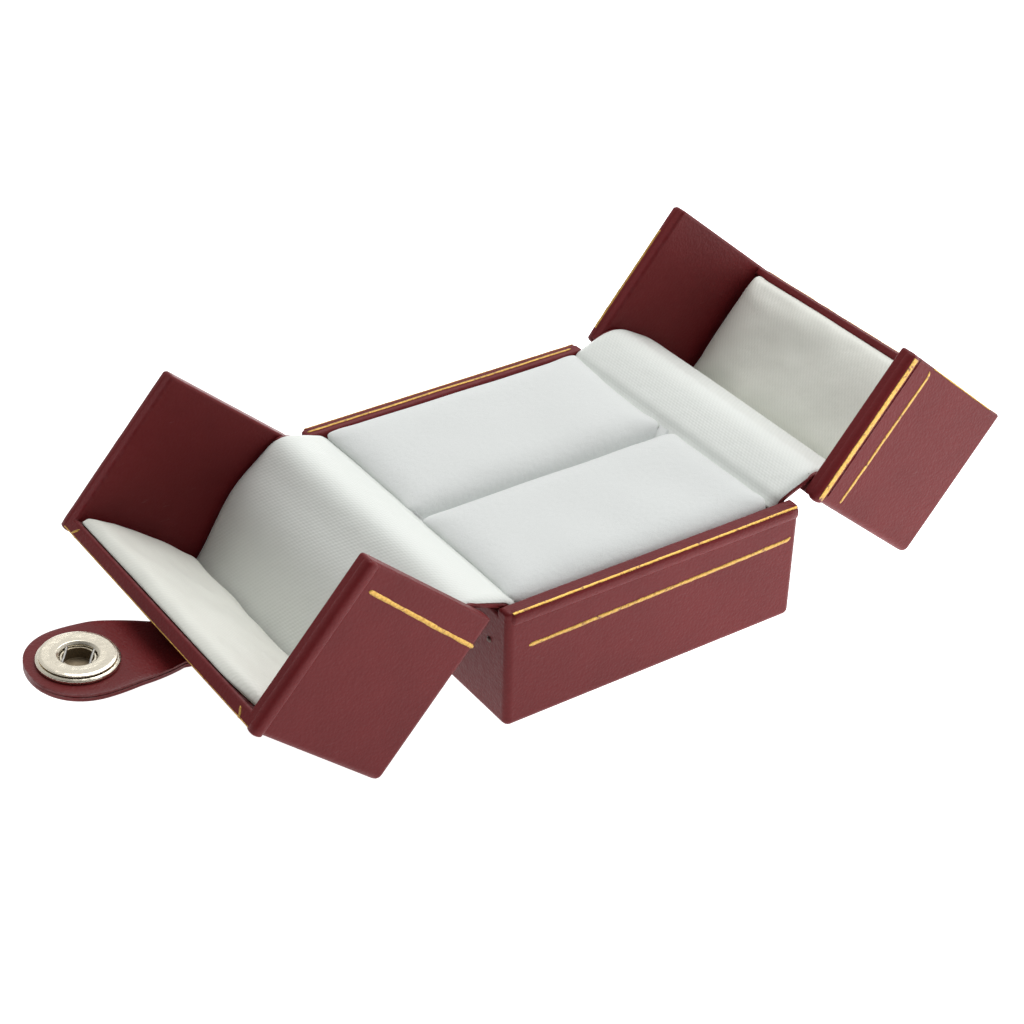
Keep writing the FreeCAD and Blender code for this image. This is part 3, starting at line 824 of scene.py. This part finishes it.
# (away from the middle, height) over the hinge, in the row frame
OVER_HINGE = {
    "left_door": [(19.9, 16.9), (20.75, 17.55), (21.5, 18.15), (23.1, 18.80), (24.8, 19.45), (26.3, 19.97),
                  (27.6, 20.05), (28.9, 19.50)],
    "right_door": [(19.9, 16.9), (20.75, 17.6), (21.4, 18.25), (22.9, 18.98), (24.8, 19.74), (26.4, 20.33),
                   (27.8, 20.45), (29.2, 20.02)],
}


def with_uv(obj, coordinates):
    """Stores each vertex's place on the flat cloth, in millimetres."""
    layer = obj.data.uv_layers.new(name="cloth")
    for loop in obj.data.loops:
        layer.data[loop.index].uv = coordinates[loop.vertex_index]


def make_satin(body):
    """One strip of satin from the ring pads' edge over the hinge, and up the door's padded side."""
    side = body.split("_")[0]
    sign = -1 if side == "left" else 1
    over = [Vector((sign * x, 0, z)) for x, z in OVER_HINGE[body]]
    path = over + [PLACES[body] @ Vector((HALF_W - u, 0, RIM + v)) / MM for u, v in SIDE_PADDING[body]]
    line, length = spline(path, SATIN_STEP)
    for _ in range(SMOOTHING):
        middles = [(before + after) / 2 for before, after in zip(line[HELD - 1:], line[HELD + 1:])]
        line[HELD:-1] = [point.lerp(middle, 0.5) for point, middle in zip(line[HELD:], middles)]
    across = spaced(-1, 1, 60)
    rows, coordinates = [], []
    for index, point in enumerate(line):
        before, after = line[max(index - 1, 0)], line[min(index + 1, len(line) - 1)]
        up = BACK.cross((after - before).normalized()) * -sign
        along = length * index / (len(line) - 1)
        face, under = [], []
        for share in across:
            y = share * SATIN_HALF
            turned_down = max(0.0, abs(share) - SATIN_FLAT) / (1 - SATIN_FLAT)
            relief = 0.10 * wander((along * 0.16, y * 0.07, sign * 4.0), 1.0, 2.0)
            relief -= 0.45 * turned_down ** 2
            face.append(point + BACK * y + up * relief)
            under.append(point + BACK * y + up * (relief - SATIN_T))
        rows.append(face + under[::-1])
        flat = [(share * SATIN_HALF, along) for share in across]
        coordinates += flat + flat[::-1]
    obj = to_object(side + "_satin", loft(rows), TO_METRES, "white_satin")
    with_uv(obj, coordinates)
    stands_for(obj, "white_satin", f"{side}_base_lining", f"{side}_door_side_lining")
    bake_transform(obj)
    make_satin_edges(body, sign, over)


def make_satin_edges(body, sign, over):
    """The leatherette under the satin's two ends at the hinge."""
    line, _ = spline(over[1:], 0.5)
    bm = bmesh.new()
    for side in (-1, 1):
        rows = []
        for before, after in zip(line, line[1:]):
            up = BACK.cross((after - before).normalized()) * -sign
            rows.append([before + BACK * side * y + up * lift
                         for y, lift in ((22.48, -0.55), (22.95, -0.62), (22.98, -1.05), (22.48, -1.05))])
        joined(bm, loft(rows))
    name = body.replace("door", "hinge") + "_edging"
    obj = to_object(name, bm, TO_METRES, "burgundy_leatherette")
    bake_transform(obj)


# Padding by cloth simulation -------------------------------------------------

SIM_SCALE = 20.0        # a pad is simulated this many times larger, where cloth behaves steadily
SIM_FRAMES = 20
CLOTH = {
    "quality": 6,
    "mass": 0.3,
    "tension_stiffness": 15,
    "compression_stiffness": 15,
    "shear_stiffness": 5,
    "bending_stiffness": 0.5,
    "use_pressure": True,
    "vertex_group_mass": "pinned",
}


def blow_up(pad, pressure, pinned):
    """Runs the pad as cloth under pressure, held at the vertices with the pinned indices."""
    pad.vertex_groups.new(name="pinned").add(pinned, 1.0, "REPLACE")
    cloth = pad.modifiers.new("cloth", "CLOTH")
    for key, value in CLOTH.items():
        setattr(cloth.settings, key, value)
    cloth.settings.uniform_pressure_force = pressure
    cloth.settings.effector_weights.gravity = 0
    cloth.point_cache.frame_start = 1
    cloth.point_cache.frame_end = SIM_FRAMES
    for number in range(1, SIM_FRAMES + 1):
        bpy.context.scene.frame_set(number)
    applied(pad)
    bpy.context.scene.frame_set(1)


def swollen(bm, voxel, pressure, pinned, cap, passes):
    """A closed shape swollen by at most cap, in millimetres, and smoothed in some passes.

    pinned tells which points stay.
    """
    bm.transform(Matrix.Scale(SIM_SCALE * MM, 4))
    pad = linked("pad", to_mesh("pad", bm))
    remesh = pad.modifiers.new("remesh", "REMESH")
    remesh.mode = "VOXEL"
    remesh.voxel_size = voxel * SIM_SCALE * MM
    applied(pad)
    start = [vert.co / (SIM_SCALE * MM) for vert in pad.data.vertices]
    blow_up(pad, pressure, [index for index, point in enumerate(start) if pinned(point)])
    for vert, before in zip(pad.data.vertices, start):
        move = vert.co / (SIM_SCALE * MM) - before
        vert.co = before + move * cap / (cap + move.length)
    result = to_bmesh(pad)
    loose = [vert for vert in result.verts if not pinned(vert.co)]
    for _ in range(passes):
        bmesh.ops.smooth_vert(result, verts=loose, factor=0.5, use_axis_x=True, use_axis_y=True,
                              use_axis_z=True)
    return result


def subdivided(obj):
    obj.modifiers.new("smooth", "SUBSURF").levels = 1
    return applied(obj)


def make_ring_pad(end, side):
    """Foam block under flocked cloth; the front one is higher at the slot, the back one at the wall."""
    node = "ring_pad_" + end
    low, high = box_mm(node)
    if end == "front":
        wall_y, wall_top, wall_round = low.y, high.z, 2.4
        slot_y, slot_top = high.y, high.z + 0.2
    else:
        wall_y, wall_top, wall_round = high.y, high.z + 0.55, 0.7
        slot_y, slot_top = low.y, high.z - 0.1
    corners = [(wall_y, low.z), (wall_y, wall_top), (slot_y, slot_top), (slot_y, low.z)]
    outline = rounded_outline(corners, (0, wall_round, 2.4, 0), 8)
    half_x = high.x - 0.05
    rows = []
    for x in spaced(-half_x, half_x, 44):
        edge = max(0.0, 1 - (half_x - abs(x)) / 0.9)
        drop = 0.2 * (1 - sqrt(max(0.0, 1 - edge ** 2)))
        rows.append([Vector((x, y, z - drop * (z - low.z) / (high.z - low.z))) for y, z in outline])
    bm = swollen(loft(rows), voxel=0.8, pressure=4.0, pinned=lambda point: point.z < low.z + 1.0, cap=0.7,
                 passes=5)
    for vert in bm.verts:
        loose = max(0.0, (vert.co.z - low.z) / (high.z - low.z))
        vert.co.z += loose * 0.16 * wander((vert.co.x, vert.co.y, side), 0.13, 4.0)
        vert.co.z = max(vert.co.z, low.z)
        vert.co.x = max(min(vert.co.x, high.x), low.x)
        vert.co.y = max(min(vert.co.y, high.y + 0.15), low.y - 0.15)
        over_wall = max(0.0, min(1.0, (vert.co.z - BASE_SIDE + 0.4) / 1.2))
        vert.co.x *= 1 + 0.042 * over_wall
    obj = subdivided(piece("ring_cushion_" + end, bm, "base", "white_velvet", node))


def make_slot_floor():
    """Flocked foam at the bottom of the ring slot, hollowed between the two pads."""
    bottom, front = box_mm("ring_pad_front")
    back, _ = box_mm("ring_pad_back")
    low, half_x = bottom.z + 0.1, front.x - 0.1
    front_y, back_y = front.y - 0.6, back.y + 0.6
    hollow = [back.y * 0.6 + front.y * 0.4, back.y * 0.4 + front.y * 0.6]
    rows = []
    for x in spaced(-half_x, half_x, 40):
        rise = max(0.0, abs(x) - half_x + 2.5) / 2.5
        top = front.z - 3.0 + 0.25 * wander((x, 0, 0), 0.2) + 2.3 * rise ** 2
        outline = [(front_y, low), (back_y, low), (back_y, top + 0.2)]
        outline += [(y, top) for y in hollow] + [(front_y, top + 0.2)]
        rows.append([Vector((x, y, z)) for y, z in outline])
    piece("ring_slot_floor", loft(rows), "base", "white_velvet")


TOP_PAD_HALF = 22.85
# (inward from the side face, up from the base's rim)
TOP_PADDING = {
    "left_door": [(3.45, 22.3), (3.35, 19.9), (9.2, 19.9), (15.5, 20.1), (22.5, 20.9), (22.85, 21.3),
                  (22.9, 22.42)],
    "right_door": [(3.35, 22.3), (3.25, 18.5), (9.0, 18.45), (14.0, 18.45), (21.1, 18.65), (21.9, 19.4),
                   (22.0, 22.3)],
}


def make_top_pad(body):
    """Satin over foam and a card in the door's top."""
    corners = [(HALF_W - u, RIM + v) for u, v in TOP_PADDING[body]]
    outline = rounded_outline(corners, (0, 0.5, 0, 0, 0.5, 0.3, 0), 6)
    half = TOP_PAD_HALF - 0.4
    start = loft([[Vector((x, y, z)) for x, z in outline] for y in (-half, half)])
    everything = start.edges[:] + start.faces[:] + start.verts[:]
    bmesh.ops.bisect_plane(start, geom=everything, plane_co=(0, 0, 0), plane_no=(0, 1, 0))
    bm = swollen(start, voxel=0.6, pressure=3.0, pinned=lambda point: point.z > CEILING - 0.7, cap=0.8,
                 passes=6)
    for vert in bm.verts:
        vert.co.z = min(vert.co.z, CEILING - 0.06)
        # the left pad's front end is drawn in from the meeting edge
        if body == "left_door" and vert.co.x < 4:
            vert.co.x += 1.4 * max(0.0, (-14.5 - vert.co.y) / 8) ** 2
        vert.co.x = max(vert.co.x, SEAM + 0.15)
        vert.co.y = max(min(vert.co.y, TOP_PAD_HALF), -TOP_PAD_HALF)
        loose = min(1.0, (CEILING - vert.co.z) / 1.5)
        vert.co.z += loose * 0.28 * wander((vert.co.x, vert.co.y, 0), 0.16, 5.0)
        vert.co.z += loose * 0.10 * wander((vert.co.x, vert.co.y * 0.6, 0), 0.45, 9.0)
    nodes = body + "_top_pad", body + "_pad_card"
    obj = subdivided(piece(body + "_cushion", bm, body, "pad_satin", *nodes))
    back = PLACES[body].inverted()
    with_uv(obj, [(back @ vert.co).xy for vert in obj.data.vertices])


# Snap tab --------------------------------------------------------------------

TAB_T = 1.0
LINING_T = 0.4
PLY_SPLIT = LINING_T - TAB_T / 2
PLY_ROUND = 0.09
STRAP_STEP = 0.4
ANCHOR_LEN = 11.6       # glued on the left door's top, from the fold
ROOT_HALF = 4.9
HEAD_HALF = 7.35
HEAD_LONG = 7.2         # from the head's widest place to its tip
TIP = 6.35              # from the snap's middle to the tip
HEAD_LEN = 5.0          # from the bend to the snap's middle
HEAD_RISE = 38.0        # slopes of the hanging strap on the closed left door
LIFT_RISE = 30.0
ROOT_R = 5.0            # radii of the two bends between the slopes
BEND_R = 12.0
TAPER = 0.02            # how fast the neck widens to the head
SNAP_HOLE_R = 2.23
WIRE_R = 0.17
WIRE_TURN = 125.0       # the spring wires' direction, from the strap's length
FOLD = Vector((-SEAM, 0, TOP + TAB_T / 2))
TAB_FOLDED = JOINTS["snap_tab_flex"]["range_deg"][1]


def slope(degrees):
    return Vector((cos(radians(degrees)), 0, sin(radians(degrees))))


# the closed strap rises from the fold, then runs nearly level to the snap's middle
SNAP = FOLD + slope(41.4) * 4.94 + slope(-2.6) * 5.4
AT_SNAP = Matrix.Translation(SNAP) @ Matrix.Rotation(radians(TAB_FOLDED - HEAD_RISE), 4, "Y")
SNAP_HANGING = FOLD + Matrix.Rotation(-radians(TAB_FOLDED), 3, "Y") @ (SNAP - FOLD)
BEND = SNAP_HANGING - slope(HEAD_RISE) * HEAD_LEN
LIFT_LEN = (BEND.z - FOLD.z) / sin(radians(LIFT_RISE))
LIFT = BEND - slope(LIFT_RISE) * LIFT_LEN
LIFT_REACH = ROOT_R * tan(radians(LIFT_RISE / 2))


def strap_line():
    """The hanging strap's middle line on the closed left door: (point, rise, length) stations."""
    bend = HEAD_RISE - LIFT_RISE
    bend_reach = BEND_R * tan(radians(bend / 2))
    point = FOLD - Vector((ANCHOR_LEN, 0, 0))
    runs = [(LIFT.x - LIFT_REACH - point.x, 0.0, 0.0), (ROOT_R * radians(LIFT_RISE), 0.0, LIFT_RISE),
            (LIFT_LEN - LIFT_REACH - bend_reach, LIFT_RISE, LIFT_RISE),
            (BEND_R * radians(bend), LIFT_RISE, HEAD_RISE),
            (HEAD_LEN - bend_reach + TIP, HEAD_RISE, HEAD_RISE)]
    stations = [(point.copy(), 0.0, 0.0)]
    passed = 0.0
    for length, rise_from, rise_to in runs:
        count = max(3, round(length / STRAP_STEP))
        for index in range(count):
            middle = rise_from + (rise_to - rise_from) * (index + 0.5) / count
            point = point + slope(middle) * (length / count)
            passed += length / count
            rise = rise_from + (rise_to - rise_from) * (index + 1) / count
            stations.append((point.copy(), rise, passed))
    return stations, passed


def strap_half(along, total):
    """Half the strap's width: rounded anchor end, neck that widens slowly and round head."""
    past = along - (total - HEAD_LONG)
    if past > 0:
        return HEAD_HALF * max(0.0, 1 - (past / HEAD_LONG) ** 2.15) ** (1 / 2.15)
    corner = 2.0
    half = max(ROOT_HALF, HEAD_HALF - TAPER * past ** 2)
    if along < corner:
        half -= corner - sqrt(corner ** 2 - (corner - along) ** 2)
    return half


def make_strap_ply(name, low, high, trim, *nodes):
    """One ply between two distances from the strap's middle surface; trim is its inset at the edge."""
    stations, total = strap_line()
    tip = [total - HEAD_LONG * (1 - sin(radians(angle))) for angle in range(72, 90, 3)]
    line = [station for station in stations if station[2] < tip[0]]
    end, rise, _ = stations[-1]
    line += [(end - slope(rise) * (total - along), rise, along) for along in tip + [total - 0.02]]
    rows = []
    for point, rise, along in line:
        half = max(strap_half(along, total) - trim, 0.08)
        soft = min(PLY_ROUND, half * 0.5)
        out = slope(rise + 90)
        span = [half - soft] + [half * share for share in (0.85, 0.6, 0.3, 0, -0.3, -0.6, -0.85)]
        span.append(-half + soft)
        lifts = [high - PLY_ROUND, low + PLY_ROUND * 0.4]
        outline = [(y, high) for y in span] + [(-half, lift) for lift in lifts]
        outline += [(y, low) for y in span[::-1]] + [(half, lift) for lift in lifts[::-1]]
        rows.append([point + BACK * y + out * lift for y, lift in outline])
    obj = to_object(name, loft(rows), LEFT_OPENS, "tab_leatherette")
    cut_snap_hole(obj)
    stands_for(obj, "tab_leatherette", *nodes)
    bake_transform(obj)


def cut_snap_hole(obj):
    """Cuts a round hole for the cap's tube."""
    cutter = bmesh.new()
    bmesh.ops.create_cone(cutter, cap_ends=True, segments=64, radius1=SNAP_HOLE_R, radius2=SNAP_HOLE_R,
                          depth=6.0)
    cutter.transform(AT_SNAP)
    tool = to_object("hole_cutter", cutter, PLACES["snap_tab"], "burgundy_leatherette")
    modifier = obj.modifiers.new("hole", "BOOLEAN")
    modifier.operation = "DIFFERENCE"
    modifier.solver = "EXACT"
    modifier.object = tool
    applied(obj)
    bpy.data.objects.remove(tool)
    obj.data.shade_smooth()
    obj.data.set_sharp_from_angle(angle=radians(40))


def snap_part(name, bm, material, node):
    """A piece of the snap in the strap; its Z axis is the snap's, from the strap's middle surface."""
    bm.transform(AT_SNAP)
    return piece(name, bm, "snap_tab", material, node, sharp=50)


def make_socket():
    """Thin face disc over a wider washer, with a slit between them and a rounded mouth."""
    face = -TAB_T / 2 - 1.1
    strap = -TAB_T / 2
    corners = [(2.3, strap - 0.05), (2.3, face + 0.30), (2.62, face + 0.02), (3.4, face + 0.06),
               (4.35, face), (4.72, face + 0.10), (4.74, face + 0.24), (4.2, face + 0.30),
               (4.2, face + 0.42), (4.80, face + 0.44), (5.12, face + 0.62), (5.12, strap - 0.12),
               (4.9, strap)]
    radii = (0, 0.18, 0.15, 0.5, 0.25, 0.10, 0.06, 0.02, 0.02, 0.08, 0.2, 0.08, 0)
    bm = lathe(rounded_outline(corners, radii, 4))
    snap_part("snap_socket_ring", bm, "snap_brass", "snap_socket")


def make_wires():
    """Two spring wires across the socket's mouth, a little bowed."""
    bm = bmesh.new()
    for side in (-1, 1):
        rows = []
        for along in spaced(-2.0, 2.0, 12):
            middle = Vector((along, side * (1.62 + 0.02 * along ** 2), -TAB_T / 2 - 0.62))
            rows.append(circle(middle, BACK, Vector((0, 0, 1)), WIRE_R, 12))
        joined(bm, loft(rows))
    bm.transform(Matrix.Rotation(radians(WIRE_TURN), 4, "Z"))
    snap_part("snap_spring_wires", bm, "spring_steel", "snap_socket_wires")


def make_cap():
    """Domed cap with a shallow ring, and the tube that the socket is clinched on; the tube's inside has
    painted shade.
    """
    face = TAB_T / 2
    tube_end = -face - 0.55
    corners = [(0.001, face + 1.0), (2.6, face + 0.96), (3.9, face + 0.74), (4.75, face + 0.42),
               (5.0, face + 0.12), (4.85, face), (2.2, face), (2.2, tube_end), (1.9, tube_end),
               (1.9, face - 0.1), (0.001, face - 0.1)]
    radii = (0, 1.5, 0.9, 0.6, 0.12, 0.05, 0.05, 0.08, 0.08, 0.1, 0)
    obj = snap_part("snap_cap_dome", lathe(rounded_outline(corners, radii, 5)), "snap_brass", "snap_cap")
    # the inside of the tube takes the darker brass: painted shade in the snap's hole
    obj.data.materials.append(MATERIALS["snap_inside"])
    back = (PLACES["snap_tab"] @ AT_SNAP).inverted()
    for polygon in obj.data.polygons:
        spot = back @ polygon.center
        if spot.z < face - 0.05 and hypot(spot.x, spot.y) < 2.0:
            polygon.material_index = 1


def closed_box(node, place):
    """A node's lowest and highest corners in the closed box."""
    back = place.inverted()
    points = [back @ vert.co for vert in NODES[node].data.vertices]
    return [Vector([end(point[axis] for point in points) for axis in range(3)]) for end in (min, max)]


def make_stud():
    """Domed flange, waist and rounded head."""
    low, high = closed_box("snap_stud", PLACES["right_door"])
    corners = [(0.001, 0), (4.8, 0), (4.8, 0.25), (3.9, 0.72), (2.3, 0.9), (1.2, 1.0), (1.15, 2.35),
               (1.35, 2.6), (1.3, 2.95), (0.9, 3.1), (0.001, 3.1)]
    radii = (0, 0.05, 0.15, 0.6, 0.6, 0.1, 0.1, 0.1, 0.15, 0.2, 0)
    bm = lathe(rounded_outline(corners, radii, 5))
    bm.transform(Matrix.Translation(((low.x + high.x) / 2, 0, low.z)))
    piece("snap_stud_turned", bm, "right_door", "snap_brass", "snap_stud", sharp=50)


RIVETED = {
    "left_base": ("base", TO_METRES @ MIRROR),
    "right_base": ("base", TO_METRES),
    "left_door": ("left_door", PLACES["left_door"]),
    "right_door": ("right_door", PLACES["right_door"]),
}


def make_rivets(part, body, place):
    """Three small domed rivets through a side wall and its hinge leaf."""
    low, high = closed_box(part + "_rivets", place)
    tail = low.x - HALF_W
    corners = [(0.001, 0.24), (0.25, 0.22), (0.42, 0.06), (0.42, -0.03), (0.26, -0.05), (0.26, tail + 0.3),
               (0.6, tail + 0.28), (0.6, tail + 0.05), (0.001, tail)]
    outline = rounded_outline(corners, (0, 0.1, 0.06, 0.02, 0, 0, 0.05, 0.05, 0), 4)
    bm = bmesh.new()
    for y in (low.y + 0.9, 0.0, high.y - 0.9):
        rivet = lathe(outline, 32)
        rivet.transform(Matrix.Translation((HALF_W, y, (low.z + high.z) / 2))
                        @ Matrix.Rotation(radians(90), 4, "Y"))
        joined(bm, rivet)
    piece(part + "_small_rivets", bm, body, "rivet_steel", part + "_rivets", sharp=50, place=place)


# CAD nodes that show as they are ---------------------------------------------

CARRIED = {
    "box_board": ["base_shell", "left_door_shell", "right_door_shell"],
    "card": ["insert_board"],
    "bottom_paper": ["base_bottom_panel"],
    "hinge_steel": [f"{side}_hinge_{part}" for part in ("base_leaf", "door_leaf", "pin")
                    for side in ("left", "right")],
    "snap_brass": ["snap_stud_post"],
}


def finish_carried_nodes():
    for material, names in CARRIED.items():
        for name in names:
            node = NODES[name]
            node.data.materials.clear()
            node.data.materials.append(MATERIALS[material])
            node.data.shade_smooth()
            node.data.set_sharp_from_angle(angle=radians(35))


# Stage -----------------------------------------------------------------------

LIGHTS_AIM = Vector((0, 0, 0.01))


def make_floor():
    """A white light table."""
    bm = bmesh.new()
    bmesh.ops.create_grid(bm, x_segments=1, y_segments=1, size=3000)
    to_object("floor", bm, TO_METRES, "floor")


def make_light(name, place, size, power):
    light = bpy.data.lights.new(name, "AREA")
    light.shape = "DISK"
    light.size = size
    light.energy = power
    obj = linked(name, light)
    obj.location = place
    obj.rotation_euler = (LIGHTS_AIM - Vector(place)).to_track_quat("-Z", "Y").to_euler()


def make_lights():
    """A tent that is bright behind the object and on its right, a soft overhead disc and a low key."""
    shader = Shader("studio", bpy.data.worlds)
    way = shader.node("SeparateXYZ", {0: shader.node("TexCoord").outputs["Generated"]}).outputs
    behind = shader.ramp(way[1], -0.5, 0.7, 0.06, 0.55)
    right = shader.ramp(way[0], -0.6, 1.0, 0.0, 0.60)
    strength = shader.maths("ADD", behind, right)
    background = shader.node("Background", {"Color": (1, 1, 1), "Strength": strength})
    shader.node("OutputWorld", {0: background.outputs[0]})
    bpy.context.scene.world = shader.owner
    make_light("overhead", (0.20, 0.12, 0.50), 0.50, 1.95)
    make_light("key", (0.28, -0.20, 0.08), 0.15, 0.15)


def make_camera():
    """Seen from the front left and above; the target is a point on the rims' plane."""
    target = Vector((-9.79, -6.65, RIM)) * MM
    azimuth, elevation, roll = (radians(angle) for angle in (-35.06, 33.39, 1.69))
    distance = 0.3008
    back = Vector((sin(azimuth) * cos(elevation), -cos(azimuth) * cos(elevation),
                   sin(elevation)))
    camera = bpy.data.cameras.new("camera")
    camera.sensor_width = 36.0
    camera.lens = 82.05
    camera.clip_start = 0.01
    obj = linked("camera", camera)
    obj.location = target + back * distance
    turn = (-back).to_track_quat("-Z", "Y") @ Matrix.Rotation(roll, 3, "Z").to_quaternion()
    obj.rotation_euler = turn.to_euler()
    bpy.context.scene.camera = obj


# Assembly --------------------------------------------------------------------

make_cover("base", base_lines, base_filled, FOOT, base_rounding)
make_base_trim()
make_door_trim()
for door, grooves in (("left_door", []), ("right_door", [RIGHT_GROOVE])):
    make_cover(door, door_lines, door_filled, TOP, door_rounding, *grooves)
    make_satin(door)
    make_top_pad(door)
for end, side in ENDS.items():
    make_ring_pad(end, side)
make_slot_floor()
make_meeting_lip()
make_strap_ply("snap_tab_outer_ply", PLY_SPLIT, TAB_T / 2, 0.0, "snap_tab_strap", "snap_tab_anchor")
make_strap_ply("snap_tab_inner_ply", -TAB_T / 2, PLY_SPLIT, 0.05, "snap_tab_lining")
make_socket()
make_wires()
make_cap()
make_stud()
for part, (body, place) in RIVETED.items():
    make_rivets(part, body, place)
finish_carried_nodes()
make_floor()
make_lights()
make_camera()
bpy.context.scene.view_settings.view_transform = "Standard"
